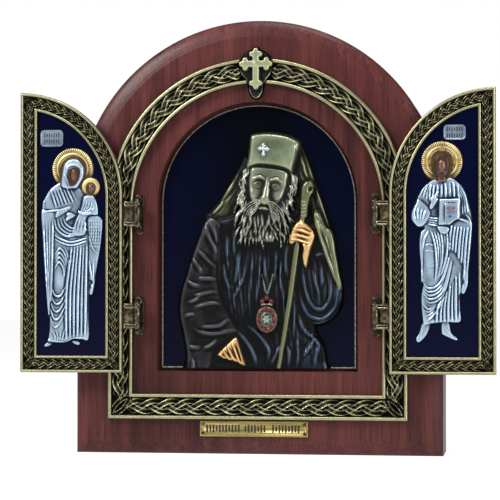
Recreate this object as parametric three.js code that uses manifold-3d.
// A table-top triptych altarpiece: an arched wooden board with a cast relief in its recess, an arched
// knotwork frame round it, and two hinged doors with a standing figure on each, here opened flat.
//
// The model is drawn face-on: x to the right, y up from the board's underside, z out to the front,
// with z = 0 in the middle of the board's thickness. The exported group turns that drawing upright,
// so the altarpiece stands on its underside and looks along -Y. All sizes are in millimetres.
import * as THREE from 'three';
import { mergeVertices } from 'three/addons/utils/BufferGeometryUtils.js';
import Module from 'manifold-3d';

const wasm = await Module();
wasm.setup();

const GAP = 0.3; // left between pieces that touch
const BOARD = { halfWidth: 101.5, bottom: 0, centre: 137, thick: 40, bevelWide: 9, bevelDeep: 4.5 };
const RECESS = { halfWidth: 55.4, bottom: 45.6, centre: 138.2, deep: 8 };
const PLATE = { halfWidth: 53.8, bottom: 47.3, centre: 138.2, thick: 1.2, line: 0.8, lineHigh: 0.6 };
const FRAME = { halfWidth: 82.75, bottom: 19.2, centre: 134.5, band: 14.1, thick: 3.7, rim: 2.3 };
const BRAID = { pitch: 12, floor: 1.0, pit: 2.1, crest: 3.5, overlap: 0.3 };
const CROSS = { height: 23.3, width: 18.9, arm: 3.9, bud: 2.2, y: 211.2, thick: 2.5 };
const BACKING = { radius: 11, y: 212.5, tip: 194.5, thick: 1.2, sunk: 1.8 };
const PLAQUE = { x: -1.5, y: 14.3, width: 59.8, height: 8.8, thick: 1.5, border: 0.9, pin: 0.9 };
const DOOR = {
  inner: 73.05, width: 57.3, bottom: 44.8, centre: 141.6,
  back: 26.5, board: 1.7, panel: 3, rim: 1.8, channel: 5.9, sunk: 2,
};
const DOOR_BRAID = { pitch: 10.4, floor: 0.6, pit: 1.9, crest: 2.8, overlap: 0.25 };
const HINGE = {
  x: 65.4, z: 27.75, upper: 131.9, lower: 75.9,
  barrel: 2.2, eye: 2.4, pin: 0.9, bore: 1.25, barrelHalf: 3.75, stackHalf: 6.85,
  plateHalfWidth: 2.5, plateHalf: 11, plateThick: 1.2, leafBack: 25, leafReach: 9, screwAt: 8.4,
};
const DRAWN_FOOT = 42.4; // the height of the door's foot in the door figures' drawings
const FRONT = BOARD.thick / 2; // the wood's front face
const BRASS = { color: 0xa79f72, roughness: 0.42, metalness: 0.9 };
const DARK_BRASS = { color: 0x6f6242, roughness: 0.45, metalness: 0.9 };
const SILVER = { color: 0xb4c3d2, roughness: 0.4, metalness: 0.85 };
const WOOD = { color: 0x5c3034, roughness: 0.45, metalness: 0 };
const NAVY = { color: 0x060a2c, roughness: 0.3, metalness: 0.1 };
const BRONZE = { color: 0x3c3a30, roughness: 0.45, metalness: 0.85 };

// ---- solids from triangles ----------------------------------------------------------------------

function solidOf(geometry) {
  const bare = geometry.index ? geometry.toNonIndexed() : geometry.clone();
  bare.deleteAttribute('normal');
  bare.deleteAttribute('uv');
  const merged = mergeVertices(bare, 1e-4);
  const triVerts = new Uint32Array(merged.index.array);
  const vertProperties = new Float32Array(merged.attributes.position.array);
  const made = new wasm.Manifold(new wasm.Mesh({ numProp: 3, vertProperties, triVerts }));
  if (made.volume() > 0) return made;
  return new wasm.Manifold(new wasm.Mesh({
    numProp: 3,
    vertProperties,
    triVerts: triVerts.map((v, i) => (i % 3 === 0 ? v : triVerts[i % 3 === 1 ? i + 1 : i - 1])),
  }));
}

function solidFromTriangles(triangles) {
  const geometry = new THREE.BufferGeometry();
  geometry.setFromPoints(triangles.flat());
  return solidOf(geometry);
}

function geometryOf(solid) {
  const mesh = solid.getMesh();
  const positions = [];
  for (let i = 0; i < mesh.vertProperties.length; i += mesh.numProp) {
    positions.push(...mesh.vertProperties.slice(i, i + 3));
  }
  const indexed = new THREE.BufferGeometry();
  indexed.setAttribute('position', new THREE.Float32BufferAttribute(positions, 3));
  indexed.setIndex([...mesh.triVerts]);
  const geometry = indexed.toNonIndexed();
  geometry.computeVertexNormals();
  return geometry;
}

function joined(solids) {
  return solids.reduce((sum, solid) => sum.add(solid));
}

function piece(name, solid, look) {
  const mesh = new THREE.Mesh(geometryOf(solid), new THREE.MeshStandardMaterial(look));
  mesh.name = name;
  return mesh;
}

function at(points, z) {
  return points.map((p) => new THREE.Vector3(p.x, p.y, z));
}

function skin(low, high) {
  return low.flatMap((point, i) => {
    const next = (i + 1) % low.length;
    return [[point, low[next], high[next]], [point, high[next], high[i]]];
  });
}

function capFaces(ring) {
  return THREE.ShapeUtils.triangulateShape(ring.map((p) => new THREE.Vector2(p.x, p.y)), []);
}

// A solid stacked from rings with equal numbers of points, closed by a flat cap at each end.
function stack(rings) {
  const sides = rings.slice(1).flatMap((ring, i) => skin(rings[i], ring));
  const faces = capFaces(rings[0]);
  const lid = faces.map((face) => face.map((i) => rings[rings.length - 1][i]));
  const base = faces.map((face) => face.map((i) => rings[0][i]).reverse());
  return solidFromTriangles([...sides, ...lid, ...base]);
}

// A solid ring: each profile entry is [inset, z], and the last one joins the first.
function ringSweep(outlineAt, profile) {
  const rings = profile.map(([inset, z]) => at(outlineAt(inset), z));
  return solidFromTriangles(rings.flatMap((ring, i) => skin(ring, rings[(i + 1) % rings.length])));
}

function box(x0, x1, y0, y1, z0, z1) {
  const geometry = new THREE.BoxGeometry(x1 - x0, y1 - y0, z1 - z0);
  geometry.translate((x0 + x1) / 2, (y0 + y1) / 2, (z0 + z1) / 2);
  return solidOf(geometry);
}

// A round bar standing along y.
function bar(radius, x, y0, y1, z, sides) {
  const geometry = new THREE.CylinderGeometry(radius, radius, y1 - y0, sides);
  geometry.translate(x, (y0 + y1) / 2, z);
  return solidOf(geometry);
}

// A turned piece whose axis stands out of the face: the profile lists [radius, z].
function turned(profile, x, y, sides) {
  const points = profile.map(([radius, z]) => new THREE.Vector2(radius, z));
  const geometry = new THREE.LatheGeometry(points, sides);
  geometry.rotateX(Math.PI / 2);
  geometry.translate(x, y, 0);
  return solidOf(geometry);
}

// ---- outlines -----------------------------------------------------------------------------------

// An arch: square at the bottom, half round at the top, drawn inset by the same distance all round.
function archOutline(arch, inset, steps) {
  const radius = arch.halfWidth - inset;
  const low = arch.bottom + inset;
  const points = [new THREE.Vector2(-radius, low), new THREE.Vector2(radius, low)];
  for (let i = 0; i <= steps; i++) {
    const turn = (Math.PI * i) / steps;
    points.push(new THREE.Vector2(radius * Math.cos(turn), arch.centre + radius * Math.sin(turn)));
  }
  return points;
}

// The right door's outline: a quarter-round top struck from its tall outer edge.
function doorOutline(inset, steps = 10) {
  const outer = DOOR.inner + DOOR.width;
  const radius = DOOR.width - inset;
  const low = DOOR.bottom + inset;
  const points = [new THREE.Vector2(outer - inset, low)];
  const last = Math.acos(inset / radius);
  for (let i = 0; i <= steps; i++) {
    const turn = last * (1 - i / steps);
    points.push(new THREE.Vector2(outer - radius * Math.cos(turn), DOOR.centre + radius * Math.sin(turn)));
  }
  points.push(new THREE.Vector2(DOOR.inner + inset, low));
  return points;
}

function ellipse(x, y, radiusX, radiusY, count = 16) {
  const curve = new THREE.EllipseCurve(x, y, radiusX, radiusY);
  return curve.getPoints(count).slice(0, count);
}

// A closed smooth line through a few [x, y] points.
function smooth(points, count) {
  const curve = new THREE.CatmullRomCurve3(points.map(([x, y]) => new THREE.Vector3(x, y, 0)), true);
  return curve.getPoints(count).slice(0, count).map((p) => new THREE.Vector2(p.x, p.y));
}

function anticlockwise(points) {
  return THREE.ShapeUtils.isClockWise(points) ? [...points].reverse() : points;
}

// The outline moved inwards along its corners' bisectors.
function insetOutline(points, distance) {
  return points.map((p, i) => {
    const before = points[(i + points.length - 1) % points.length];
    const after = points[(i + 1) % points.length];
    const along = after.clone().sub(before).normalize();
    return new THREE.Vector2(p.x - along.y * distance, p.y + along.x * distance);
  });
}

// ---- relief -------------------------------------------------------------------------------------

// A rounded relief form over an outline: steep sides, a rounded shoulder and a flat crown.
function pillow(outline, base, top, shoulder) {
  const rim = anticlockwise(outline);
  const rise = top - base;
  return stack([
    at(rim, base),
    at(rim, base + rise * 0.4),
    at(insetOutline(rim, shoulder), top),
  ]);
}

// A ridge with pointed ends along a few [x, y] points.
function fold(points, stations, width, base, top) {
  const curve = new THREE.CatmullRomCurve3(points.map(([x, y]) => new THREE.Vector3(x, y, 0)));
  const rings = [];
  for (let i = 0; i < stations; i++) {
    const share = i / (stations - 1);
    const p = curve.getPoint(share);
    const along = curve.getTangent(share);
    const swell = 0.25 + 0.75 * Math.sin(Math.PI * share);
    const side = new THREE.Vector3(-along.y, along.x, 0).multiplyScalar((swell * width) / 2);
    const crest = base + (top - base) * (0.55 + 0.45 * Math.sin(Math.PI * share));
    rings.push([
      p.clone().sub(side).setZ(base),
      p.clone().add(side).setZ(base),
      p.clone().setZ(crest),
    ]);
  }
  const sides = rings.slice(1).flatMap((ring, i) => skin(rings[i], ring));
  return solidFromTriangles([...sides, [...rings[0]].reverse(), rings[stations - 1]]);
}

// Folds spread evenly between a first and a last guide line.
function folds(first, last, count, width, base, top, stations = 4) {
  return Array.from({ length: count }, (_, k) => {
    const share = count > 1 ? k / (count - 1) : 0.5;
    const line = first.map(([x, y], i) => [
      x + (last[i][0] - x) * share,
      y + (last[i][1] - y) * share,
    ]);
    return fold(line, stations, width, base, top);
  });
}

// ---- knotwork -----------------------------------------------------------------------------------

// A strip of three-strand braid along a path, in facets. In each unit the strands cross once above
// the centre line and once below it, and turn at the edge between the crossings.
function braidStrip(path, length, halfWidth, z, braid) {
  const units = Math.round(length / braid.pitch);
  const step = length / units;
  const width = halfWidth + braid.overlap;
  const spot = (unit, across, height) => {
    const { point, normal } = path(unit * step);
    return new THREE.Vector3(
      point.x + normal.x * across * width,
      point.y + normal.y * across * width,
      z + height,
    );
  };
  const low = (unit, across) => spot(unit, across, braid.pit);
  const high = (unit, across) => spot(unit, across, braid.crest);
  const under = (unit, across) => spot(unit, across, braid.floor);
  const faces = [];
  const fan = (centre, rim) => {
    for (let i = 0; i + 1 < rim.length; i++) faces.push([centre, rim[i], rim[i + 1]]);
  };
  for (let k = 0; k < units; k++) {
    const upper = [high(k, 0.5), high(k + 0.5, -0.5), high(k + 1, 0.5), high(k + 0.5, 0.9)];
    fan(low(k + 0.5, 0.35), [...upper, upper[0]]);
    fan(high(k + 0.5, 0.9), [low(k + 1, 1), low(k, 1), high(k, 0.5)]);
    fan(low(k + 1, 1), [high(k + 0.5, 0.9), high(k + 1, 0.5)]);
    fan(low(k + 0.5, -1), [high(k + 1, -0.9), high(k + 0.5, -0.5), high(k, -0.9)]);
    if (k === 0) continue;
    const lower = [high(k, 0.5), high(k - 0.5, -0.5), high(k, -0.9), high(k + 0.5, -0.5)];
    fan(low(k, -0.35), [...lower, lower[0]]);
    fan(high(k, -0.9), [low(k - 0.5, -1), low(k + 0.5, -1)]);
  }
  const start = [high(0, 0.5), low(0, -0.35), high(0, -0.9)];
  const finish = [high(units, 0.5), low(units, -0.35), high(units, -0.9)];
  fan(start[1], [start[2], high(0.5, -0.5), start[0]]);
  fan(finish[1], [finish[0], high(units - 0.5, -0.5), finish[2]]);
  faces.push([start[2], low(0, -1), low(0.5, -1)]);
  faces.push([finish[2], low(units - 0.5, -1), low(units, -1)]);
  const wall = (a, b, across) => {
    faces.push([low(a, across), under(a, across), under(b, across)]);
    faces.push([low(a, across), under(b, across), low(b, across)]);
  };
  for (let k = 0; k < units; k++) wall(k + 1, k, 1);
  wall(0, 0.5, -1);
  for (let k = 1; k < units; k++) wall(k - 0.5, k + 0.5, -1);
  wall(units - 0.5, units, -1);
  faces.push(...braidEnd([low(0, 1), ...start, low(0, -1)], under, 0));
  faces.push(...braidEnd([low(units, -1), ...finish.reverse(), low(units, 1)], under, units));
  faces.push(...braidUnderside(units, under));
  return solidFromTriangles(faces);
}

function braidEnd(rim, under, unit) {
  const acrosses = unit === 0 ? [1, 0.5, -0.35, -0.9, -1] : [-1, -0.9, -0.35, 0.5, 1];
  const feet = acrosses.map((across) => under(unit, across));
  return rim.slice(1).flatMap((point, i) => [
    [rim[i], feet[i], feet[i + 1]],
    [rim[i], feet[i + 1], point],
  ]);
}

function braidUnderside(units, under) {
  const upper = Array.from({ length: units + 1 }, (_, k) => under(k, 1));
  const lower = Array.from({ length: units }, (_, k) => under(k + 0.5, -1));
  const faces = [];
  for (let k = 0; k < units; k++) faces.push([upper[k], upper[k + 1], lower[k]]);
  for (let k = 0; k + 1 < units; k++) faces.push([lower[k], upper[k + 1], lower[k + 1]]);
  const ends = [1, 0.5, -0.35, -0.9, -1];
  for (let i = 0; i + 1 < ends.length; i++) {
    faces.push([under(0, ends[i]), lower[0], under(0, ends[i + 1])]);
    faces.push([under(units, ends[i + 1]), lower[units - 1], under(units, ends[i])]);
  }
  return faces;
}

function straightPath(from, to) {
  const along = to.clone().sub(from).normalize();
  const normal = new THREE.Vector2(-along.y, along.x);
  return (s) => ({ point: from.clone().addScaledVector(along, s), normal });
}

// Straight up from a start point for a rise, then round a centre; turnWay is 1 for anticlockwise.
function risingPath(start, rise, centre, turnWay) {
  const radius = Math.abs(start.x - centre.x);
  const startTurn = start.x > centre.x ? 0 : Math.PI;
  return (s) => {
    if (s <= rise) {
      return { point: new THREE.Vector2(start.x, start.y + s), normal: new THREE.Vector2(-1, 0) };
    }
    const turn = startTurn + (turnWay * (s - rise)) / radius;
    const out = new THREE.Vector2(Math.cos(turn), Math.sin(turn));
    return {
      point: out.clone().multiplyScalar(radius).add(centre),
      normal: out.multiplyScalar(-turnWay),
    };
  };
}

// The pointed loop that fills a corner: a raised almond-shaped ring round a pit.
function cornerLoop(x, y, angle, length, width, z, braid) {
  const outline = (scale) => ellipse(0, 0, (length / 2) * scale, (width / 2) * scale, 8).map((p) =>
    p.rotateAround(new THREE.Vector2(), angle).add(new THREE.Vector2(x, y)));
  return stack([
    at(outline(1), z + braid.floor),
    at(outline(1), z + braid.pit),
    at(outline(0.75), z + braid.crest),
    at(outline(0.35), z + braid.pit),
  ]);
}

// ---- board, plate and frame ---------------------------------------------------------------------

function backBoard() {
  const { bevelWide, bevelDeep } = BOARD;
  const rings = [at(archOutline(BOARD, 1, 30), -FRONT), at(archOutline(BOARD, 0, 30), -FRONT + 1)];
  for (const turn of [0, 30, 60, 90].map(THREE.MathUtils.degToRad)) {
    const inset = bevelWide * (1 - Math.cos(turn));
    const z = FRONT - bevelDeep * (1 - Math.sin(turn));
    rings.push(at(archOutline(BOARD, inset, 30), z));
  }
  const recess = archOutline(RECESS, 0, 20);
  return stack(rings).subtract(stack([at(recess, FRONT - RECESS.deep), at(recess, FRONT + 1)]));
}

function centrePlate() {
  const back = FRONT - RECESS.deep + GAP;
  const face = back + PLATE.thick;
  return stack([
    at(archOutline(PLATE, 0, 20), back),
    at(archOutline(PLATE, 0, 20), face + PLATE.lineHigh),
    at(archOutline(PLATE, PLATE.line, 20), face + PLATE.lineHigh),
    at(archOutline(PLATE, PLATE.line, 20), face),
  ]);
}

function knotFrame() {
  const back = FRONT + GAP;
  const { band, thick, rim } = FRAME;
  const floor = thick - BACKING.sunk;
  const profile = [
    [0, 0], [0, thick - 0.6], [0.7, thick], [rim - 0.3, thick], [rim, floor],
    [band - rim, floor], [band - rim + 0.3, thick], [band - 0.7, thick], [band, thick - 0.6], [band, 0],
  ].map(([inset, height]) => [inset, back + height]);
  const ring = ringSweep((inset) => archOutline(FRAME, inset, 20), profile);
  const notch = stack([at(backingOutline(GAP), back + floor), at(backingOutline(GAP), back + thick + 1)]);
  return joined([ring, ...frameBraids(back)]).subtract(notch);
}

function frameBraids(back) {
  const middle = FRAME.band / 2;
  const halfWidth = middle - FRAME.rim;
  const corner = 7.5;
  const side = FRAME.halfWidth - middle;
  const low = FRAME.bottom + middle;
  const rise = FRAME.centre - low - corner;
  const roundCross = BACKING.radius + 0.5;
  const arc = (Math.PI / 2) * side - roundCross;
  const centre = new THREE.Vector2(0, FRAME.centre);
  const strips = [-1, 1].map((way) => {
    const start = new THREE.Vector2(way * side, low + corner);
    return braidStrip(risingPath(start, rise, centre, way), rise + arc, halfWidth, back, BRAID);
  });
  const from = new THREE.Vector2(-side + corner, low);
  const to = new THREE.Vector2(side - corner, low);
  strips.push(braidStrip(straightPath(from, to), from.distanceTo(to), halfWidth, back, BRAID));
  const loops = [-1, 1].map((way) =>
    cornerLoop(way * side, low, (-way * Math.PI) / 4, 13.5, 7, back, BRAID));
  return [...strips, ...loops];
}

// The cross's backing: round at the top, drawn in to a point below.
function backingOutline(margin) {
  const { radius, y, tip } = BACKING;
  const points = ellipse(0, y, radius + margin, radius + margin, 16)
    .filter((p) => p.y >= y - radius * 0.35);
  const flank = [[7.6, y - 10], [3.4, y - 14.2]];
  const left = flank.map(([x, height]) => new THREE.Vector2(-x - margin, height));
  const right = flank.map(([x, height]) => new THREE.Vector2(x + margin, height)).reverse();
  const start = points.findIndex((p) => p.x > 0 && p.y < y);
  const arc = start < 0 ? points : [...points.slice(start), ...points.slice(0, start)];
  return anticlockwise([...arc, ...left, new THREE.Vector2(0, tip - margin), ...right]);
}

function frameCross() {
  const back = FRONT + GAP + FRAME.thick - BACKING.sunk + GAP;
  const face = back + BACKING.thick;
  const backing = stack([at(backingOutline(0), back), at(backingOutline(0), face)]);
  const { height, width, arm, bud, y, thick } = CROSS;
  const beam = 2.6; // the cross-beam's height over the cross's middle
  const bars = [
    box(-arm / 2, arm / 2, y - height / 2 + bud, y + height / 2 - bud, face - GAP, face + thick),
    box(-width / 2 + bud, width / 2 - bud, y + beam - arm / 2, y + beam + arm / 2, face - GAP,
      face + thick - 0.15),
  ];
  const ends = [[0, height / 2], [0, -height / 2], [width / 2, beam], [-width / 2, beam]];
  const buds = ends.flatMap(([x, up]) => budsAt(x, y + up, Math.sign(x), x ? 0 : Math.sign(up)));
  const lobes = buds.map(([bx, by]) => {
    const outline = ellipse(bx, by, bud * 0.8, bud * 0.8, 7);
    return stack([at(outline, face - GAP), at(outline, face + thick - 0.3)]);
  });
  return joined([backing, ...bars, ...lobes]);
}

// Three small lobes at the end of an arm that points along (dx, dy).
function budsAt(x, y, dx, dy) {
  const { bud } = CROSS;
  const back = bud * 1.45;
  return [
    [x - dx * bud, y - dy * bud],
    [x - dx * back * 1.3 + dy * bud, y - dy * back * 1.3 + dx * bud],
    [x - dx * back * 1.3 - dy * bud, y - dy * back * 1.3 - dx * bud],
  ];
}

function namePlaque() {
  const { x, y, width, height, thick, border } = PLAQUE;
  const back = FRONT + GAP;
  const rectangle = (inset) => [[-1, -1], [1, -1], [1, 1], [-1, 1]].map(([sx, sy]) =>
    new THREE.Vector2(x + sx * (width / 2 - inset), y + sy * (height / 2 - inset)));
  return stack([
    at(rectangle(0), back),
    at(rectangle(0), back + thick - 0.4),
    at(rectangle(0.4), back + thick),
    at(rectangle(border), back + thick),
    at(rectangle(border + 0.2), back + thick - 0.3),
  ]);
}

function plaquePin(sx, sy) {
  const { x, y, width, height, thick, pin } = PLAQUE;
  const base = FRONT + GAP + thick + GAP;
  const inset = 1.9;
  const profile = [[0, base], [pin, base], [pin * 0.8, base + 0.6], [0, base + 0.8]];
  return turned(profile, x + sx * (width / 2 - inset), y + sy * (height / 2 - inset), 6);
}

// ---- the centre figure --------------------------------------------------------------------------

// A half-length cleric in a tall brimless hat with a long veil, a full beard and a wide-sleeved
// robe; one hand holds a staff, the other rests below, and a medallion hangs on the breast.
function centreFigure() {
  const base = FRONT - RECESS.deep + GAP + PLATE.thick + PLATE.lineHigh + GAP;
  const form = (points, count, high, shoulder) =>
    pillow(smooth(points, count), base, base + high, shoulder);
  const forms = [
    form(VEIL, 20, 2.8, 1.5),
    form(TORSO, 18, 4.6, 2.5),
    form(LEFT_SLEEVE, 13, 5.9, 3),
    form(RIGHT_SLEEVE, 11, 6, 2.6),
    form(FACE, 10, 6.6, 2.2),
    form(HAT, 12, 7.4, 1.6),
    form(BEARD, 12, 7.6, 2.4),
    form(LOWER_HAND, 8, 7, 1.6),
    form(UPPER_HAND, 9, 8, 1.5),
    pillow(ellipse(26, 146.5, 3.4, 4.4, 8), base, base + 7.8, 1.2),
    pillow(ellipse(2.8, 74, 5.6, 7.2, 10), base, base + 6.6, 0.8),
    pillow(ellipse(3.4, 85, 3, 2.6, 6), base, base + 6.4, 0.8),
    staff(base, base + 7.6),
  ];
  const cloth = [
    ...folds(
      [[-32, 124], [-41, 96], [-38, 58]], [[-17, 116], [-21, 90], [-24, 64]],
      4, 3.4, base + 4, base + 7.2,
    ),
    ...folds(
      [[-9, 112], [-7, 82], [-5, 48]], [[13, 110], [17, 84], [22, 52]],
      4, 3, base + 3, base + 5.8,
    ),
    ...folds(
      [[24, 158], [30, 126], [33, 96]], [[25, 165], [38, 124], [43, 94]],
      3, 2.6, base + 2, base + 4.4,
    ),
    ...folds(
      [[-12, 158], [-22, 142], [-28, 130]], [[-10, 163], [-19, 148], [-30, 134]],
      2, 2, base + 2, base + 4,
    ),
    ...folds(
      [[22, 110], [20, 92], [28, 76]], [[36, 108], [41, 92], [38, 79]],
      3, 3, base + 4, base + 7.2,
    ),
    ...folds(
      [[-10, 142], [-9, 128], [-1, 118]], [[13, 142], [13, 130], [8, 117]],
      5, 2.2, base + 6, base + 8,
    ),
    ...folds(
      [[-8, 163], [4, 158.5], [19, 161]], [[-7, 169], [5, 165], [20, 167]],
      1, 1.6, base + 6, base + 7.8,
    ),
  ];
  const below = box(-80, 80, 0, RECESS.bottom + 1.4, 0, 60);
  return joined([...forms, ...cloth]).subtract(below);
}

function staff(base, top) {
  const foot = new THREE.Vector2(10, 44);
  const head = new THREE.Vector2(25, 147);
  const side = head.clone().sub(foot).normalize().rotateAround(new THREE.Vector2(), Math.PI / 2);
  const corners = [
    foot.clone().addScaledVector(side, -1.3),
    head.clone().addScaledVector(side, -1.6),
    head.clone().addScaledVector(side, 1.6),
    foot.clone().addScaledVector(side, 1.3),
  ];
  return pillow(corners, base, top, 0.5);
}

const VEIL = [
  [-9, 166], [-17, 152], [-24, 141], [-31, 131], [-36, 117], [-28, 104], [4, 98], [27, 86], [38, 82],
  [44.5, 87], [44.3, 98], [41, 114], [37, 129], [31, 146], [25.5, 160], [21.5, 171], [6, 176],
];
const TORSO = [
  [-20, 137], [-32, 128], [-39, 112], [-44.5, 96], [-47, 82], [-45.5, 62], [-43, 38], [0, 36], [37, 38],
  [35, 58], [29.5, 69], [40, 76], [44.5, 86], [38, 104], [31, 122], [20, 137], [0, 142],
];
const LEFT_SLEEVE = [
  [-24, 131], [-33.5, 123], [-39.5, 109], [-44, 95], [-46.2, 80], [-44.5, 62], [-39, 44], [-26, 44],
  [-12, 60], [-14, 78], [-17, 98], [-16, 120],
];
const RIGHT_SLEEVE = [
  [17, 108], [24, 116], [33, 114], [40, 101], [44, 88], [40, 77.5], [30.5, 71], [22, 78], [16, 92],
];
const FACE = [[-9, 157], [-11, 149], [-8, 140], [3, 136], [14, 140], [17, 149], [17.5, 156], [4, 162]];
const HAT = [
  [-9.6, 158], [-8.8, 167], [-7.4, 176], [0, 179.6], [10, 179], [21.6, 172.5], [19.6, 163], [17.3, 155],
  [8, 152.6], [-1, 153.6],
];
const BEARD = [
  [-11, 144], [-13.4, 133], [-10, 122], [-2, 115.5], [5.8, 113], [11.5, 119], [14.6, 131], [15, 142],
  [8, 146], [-3, 147],
];
const UPPER_HAND = [
  [15.5, 121], [18, 128], [24, 129.5], [30, 126], [30.5, 118], [28, 107], [24.5, 102], [22, 108], [17, 115],
];
const LOWER_HAND = [[-24.5, 60], [-18, 64.5], [-10, 61], [-8.8, 53], [-13, 48.5], [-20, 49.5], [-24, 54]];

// ---- the doors ----------------------------------------------------------------------------------

function doorBoard() {
  const outline = doorOutline(0.2);
  return stack([at(outline, DOOR.back), at(outline, DOOR.back + DOOR.board)]);
}

function doorPanel() {
  const back = DOOR.back + DOOR.board + GAP;
  const { panel, rim, channel, sunk } = DOOR;
  const inner = 2 * rim + channel;
  const profile = [
    [0, 0], [0, panel - 0.3], [0.3, panel], [rim, panel], [rim, panel - 1.2], [rim + channel, panel - 1.2],
    [rim + channel, panel], [inner, panel], [inner, panel - sunk],
  ].map(([inset, height]) => at(doorOutline(inset), back + height));
  return joined([stack(profile), ...doorBraids(back)]);
}

function doorBraids(back) {
  const middle = DOOR.rim + DOOR.channel / 2;
  const halfWidth = DOOR.channel / 2;
  const corner = 4.6;
  const outer = DOOR.inner + DOOR.width;
  const radius = DOOR.width - middle;
  const low = DOOR.bottom + middle;
  const peak = DOOR.centre + Math.sqrt(radius ** 2 - middle ** 2);
  const tall = [low + corner, peak - corner].map((y) => new THREE.Vector2(outer - middle, y));
  const sillEnds = [DOOR.inner + middle + corner, outer - middle - corner];
  const sill = sillEnds.map((x) => new THREE.Vector2(x, low));
  const strips = [tall, sill].map(([from, to]) =>
    braidStrip(straightPath(from, to), from.distanceTo(to), halfWidth, back, DOOR_BRAID));
  const start = new THREE.Vector2(DOOR.inner + middle, low + corner);
  const rise = DOOR.centre - start.y;
  const arc = radius * Math.acos(middle / radius) - corner;
  const path = risingPath(start, rise, new THREE.Vector2(outer, DOOR.centre), -1);
  strips.push(braidStrip(path, rise + arc, halfWidth, back, DOOR_BRAID));
  const loops = [
    [outer - middle, low, -Math.PI / 4],
    [DOOR.inner + middle, low, Math.PI / 4],
    [outer - middle, peak, Math.PI / 4],
  ].map(([x, y, angle]) => cornerLoop(x, y, angle, 8, 4.4, back, DOOR_BRAID));
  return [...strips, ...loops];
}

function cartouche(x, y, width, height) {
  const base = DOOR.back + DOOR.board + GAP + DOOR.panel - DOOR.sunk + GAP;
  const octagon = (inset) => ellipse(x, y, width / 2 - inset, height / 2 - inset, 12);
  return stack([at(octagon(0), base), at(octagon(0), base + 0.6), at(octagon(0.4), base + 0.9)]);
}

const FIGURE_BASE = DOOR.back + DOOR.board + GAP + DOOR.panel - DOOR.sunk + GAP;

function doorForm(points, count, high, shoulder) {
  return pillow(smooth(points, count), FIGURE_BASE, FIGURE_BASE + high, shoulder);
}

function doorRound(x, y, radiusX, radiusY, high, shoulder, count = 14) {
  return pillow(ellipse(x, y, radiusX, radiusY, count), FIGURE_BASE, FIGURE_BASE + high, shoulder);
}

function doorFolds(first, last, count, width, low, high) {
  return folds(first, last, count, width, FIGURE_BASE + low, FIGURE_BASE + high, 3);
}

// A standing Mother, veiled, with the Child on the arm; both have halos.
function motherFigure() {
  return joined([
    doorRound(-100.9, 154.3, 11.7, 11.7, 0.8, 0.3, 16),
    doorRound(-91.6, 143.8, 5.7, 5.7, 1.2, 0.3, 10),
    doorForm([
      [-107, 148], [-114, 141], [-118.3, 130], [-117.8, 117], [-116, 101], [-114, 73], [-114.5, 60],
      [-103, 58.6], [-91.5, 60], [-91, 82], [-88.5, 90], [-85.6, 108], [-84, 124], [-88, 134], [-95, 146],
    ], 14, 1.7, 1.2),
    doorRound(-100.6, 153.6, 6.2, 8.6, 2.1, 1.4, 10),
    doorRound(-99.9, 152.4, 3.7, 4.9, 2.5, 1.1, 8),
    doorRound(-91.8, 143.2, 2.9, 3.3, 2.5, 1, 6),
    doorForm([[-97, 141], [-99, 130], [-93, 123], [-86.5, 127], [-87, 137], [-91, 141]], 8, 2.3, 1),
    doorForm([[-113, 133], [-115, 124], [-104, 120], [-90, 121.5], [-92, 127], [-104, 130]], 9, 2.2, 1),
    doorForm([[-115.8, 59.6], [-116.6, 57.6], [-110, 56.4], [-107, 59], [-111, 61]], 6, 1.4, 0.5),
    doorForm([[-104, 59.6], [-104, 57], [-98, 56.2], [-96, 58.8], [-100, 61]], 6, 1.4, 0.5),
    ...doorFolds(
      [[-112, 122], [-112.5, 95], [-112.5, 62]], [[-95, 119], [-93, 95], [-93.5, 62]],
      6, 2, 1, 2.5,
    ),
    ...doorFolds(
      [[-112, 143], [-109, 134], [-101, 130]], [[-106, 147], [-102, 141], [-99, 137]],
      3, 1.6, 1, 2.4,
    ),
    ...doorFolds(
      [[-90, 120], [-88.5, 106], [-89.5, 90]], [[-86, 120], [-87, 108], [-89, 92]],
      1, 1.6, 1, 2.4,
    ),
  ]);
}

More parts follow.
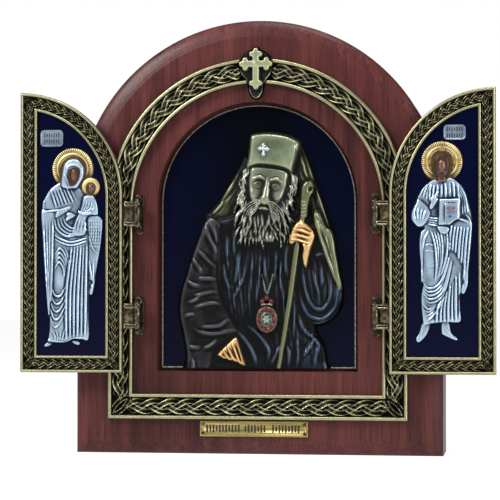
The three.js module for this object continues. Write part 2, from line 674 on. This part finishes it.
// A standing Christ with a cross in the halo; one hand blesses, the other holds a closed book.
function christFigure() {
  const cross = [[101.4, 156.5, 11, 1.6], [101.4, 156.5, 1.6, 11]].map(([x, y, halfX, halfY]) =>
    box(x - halfX, x + halfX, y - halfY, y + halfY, FIGURE_BASE, FIGURE_BASE + 1));
  return joined([
    doorRound(101.6, 156.5, 11.2, 11.2, 0.8, 0.3, 16),
    ...cross,
    doorForm([
      [97, 147.5], [90.5, 143.5], [86.5, 135], [85, 127], [89.5, 120.5], [89, 104], [90, 84], [91, 69],
      [101, 66], [111.5, 70], [113, 85], [116, 92], [115.5, 106], [118, 124], [116.5, 136], [112.5, 144.3],
      [106, 147.5],
    ], 15, 1.7, 1.2),
    doorRound(101.3, 154.3, 5.4, 7.4, 2, 1.4, 10),
    doorRound(101.3, 153.4, 3.4, 5, 2.5, 1.1, 8),
    doorForm([[100.4, 134.5], [101, 122.5], [111, 122.5], [112, 135.5]], 8, 2.6, 0.4),
    doorForm([
      [88, 137], [86.5, 128], [92, 122], [97, 130], [99.5, 137.5], [97.5, 141], [95, 136],
    ], 10, 2.3, 0.9),
    doorForm([[89.5, 72], [87.4, 61], [90.5, 58.6], [93.4, 61], [95, 72]], 6, 1.4, 0.6),
    doorForm([[101, 72], [103.5, 63], [108.5, 60.4], [110.8, 62.5], [107.5, 72]], 6, 1.4, 0.6),
    ...doorFolds([[92, 119], [92.5, 94], [93, 70]], [[108, 119], [109.5, 94], [110, 72]], 5, 2, 1, 2.5),
    ...doorFolds(
      [[93, 143], [91, 136], [89, 128]], [[112, 142], [115, 134], [115, 122]],
      2, 1.8, 1, 2.4,
    ),
    ...doorFolds([[94, 122], [103, 112], [115, 108]], [[93, 106], [101, 96], [114, 93]], 3, 1.8, 1, 2.5),
  ]);
}

// ---- hinges -------------------------------------------------------------------------------------

// The fixed half: a round-ended plate screwed to the wood, with the barrel on a stem.
function hingeBracket(y) {
  const { x, z, plateHalfWidth, plateHalf, plateThick, barrel, barrelHalf, bore } = HINGE;
  const back = FRONT + GAP;
  const ends = [];
  for (const way of [1, -1]) {
    for (let i = 0; i <= 4; i++) {
      const turn = (way > 0 ? 0 : Math.PI) + (Math.PI * i) / 4;
      const reach = plateHalf - plateHalfWidth;
      ends.push(new THREE.Vector2(
        x + plateHalfWidth * Math.cos(turn),
        y + way * reach + plateHalfWidth * Math.sin(turn),
      ));
    }
  }
  const plate = stack([at(ends, back), at(ends, back + plateThick)]);
  const stem = box(x - 1.2, x + 1.2, y - barrelHalf, y + barrelHalf, back + plateThick / 2, z);
  const tube = bar(barrel, x, y - barrelHalf, y + barrelHalf, z, 10);
  const passage = bar(bore, x, y - barrelHalf - 1, y + barrelHalf + 1, z, 7);
  return joined([plate, stem, tube]).subtract(passage);
}

// The moving half: a leaf behind the door with an arm above and below, each with an eye on the pin.
function hingeLeaf(y) {
  const { x, z, eye, bore, barrel, barrelHalf, stackHalf, leafBack, leafReach } = HINGE;
  const leafFront = DOOR.back - GAP;
  const leafSpan = [x + barrel + GAP, DOOR.inner + leafReach];
  const leaf = box(...leafSpan, y - stackHalf, y + stackHalf, leafBack, leafFront);
  const arms = [-1, 1].flatMap((way) => {
    const near = y + way * (barrelHalf + GAP);
    const far = y + way * stackHalf;
    const [low, high] = [Math.min(near, far), Math.max(near, far)];
    return [
      bar(eye, x, low, high, z, 10),
      box(x, DOOR.inner - GAP, low, high, leafBack, z + eye * 0.75),
    ];
  });
  const passage = bar(bore, x, y - stackHalf - 1, y + stackHalf + 1, z, 7);
  return joined([leaf, ...arms]).subtract(passage);
}

function hingePin(y) {
  const { x, z, pin, stackHalf } = HINGE;
  const reach = stackHalf + GAP;
  const profile = [
    [0, -reach], [pin, -reach], [pin, reach], [1.5, reach], [1.5, reach + 0.8], [0, reach + 0.8],
  ].map(([radius, height]) => new THREE.Vector2(radius, height));
  const geometry = new THREE.LatheGeometry(profile, 6);
  geometry.translate(x, y, z);
  return solidOf(geometry);
}

function hingeScrew(y) {
  const seat = FRONT + GAP + HINGE.plateThick + GAP;
  const profile = [[0, seat], [2.1, seat], [2.1, seat + 0.6], [0, seat + 1.3]];
  return turned(profile, HINGE.x, y, 7);
}

// The solids are drawn on the right-hand side; the left-hand ones are their mirror images.
function onSide(solid, side) {
  return side < 0 ? solid.mirror([1, 0, 0]) : solid;
}

// The door figures and cartouches are drawn over a fixed foot, and rise with the door's own.
function onDoor(solid) {
  return solid.translate([0, DOOR.bottom - DRAWN_FOOT, 0]);
}

// ---- assembly -----------------------------------------------------------------------------------

const front = new THREE.Group();
front.rotation.x = Math.PI / 2;
front.add(piece('back_board', backBoard(), WOOD));
front.add(piece('centre_plate', centrePlate(), NAVY));
front.add(piece('centre_figure', centreFigure(), BRONZE));
front.add(piece('knot_frame', knotFrame(), BRASS));
front.add(piece('frame_cross', frameCross(), BRASS));
front.add(piece('name_plaque', namePlaque(), BRASS));
[[-1, 1], [1, 1], [-1, -1], [1, -1]].forEach(([sx, sy], i) => {
  front.add(piece(`plaque_pin_${i + 1}`, plaquePin(sx, sy), DARK_BRASS));
});

for (const [name, side] of [['left', -1], ['right', 1]]) {
  const door = new THREE.Group();
  door.name = `${name}_door`;
  door.add(piece(`${name}_door_board`, onSide(doorBoard(), side), WOOD));
  door.add(piece(`${name}_door_panel`, onSide(doorPanel(), side), BRASS));
  door.add(piece(`${name}_figure`, onDoor(side < 0 ? motherFigure() : christFigure()), SILVER));
  for (const [height, y] of [['upper', HINGE.upper], ['lower', HINGE.lower]]) {
    const hinge = `${name}_${height}_hinge`;
    door.add(piece(`${hinge}_leaf`, onSide(hingeLeaf(y), side), DARK_BRASS));
    front.add(piece(`${hinge}_bracket`, onSide(hingeBracket(y), side), DARK_BRASS));
    front.add(piece(`${hinge}_pin`, onSide(hingePin(y), side), DARK_BRASS));
    front.add(piece(`${hinge}_screw_1`, onSide(hingeScrew(y + HINGE.screwAt), side), DARK_BRASS));
    front.add(piece(`${hinge}_screw_2`, onSide(hingeScrew(y - HINGE.screwAt), side), DARK_BRASS));
  }
  front.add(door);
}
for (const [name, solid] of [
  ['left', cartouche(-112.7, 171.3, 12.7, 9.2)],
  ['right', cartouche(108.4, 172.4, 11.9, 8.1)],
]) {
  front.getObjectByName(`${name}_door`).add(piece(`${name}_cartouche`, onDoor(solid), SILVER));
}

const altarpiece = new THREE.Group();
altarpiece.add(front);

export default altarpiece;
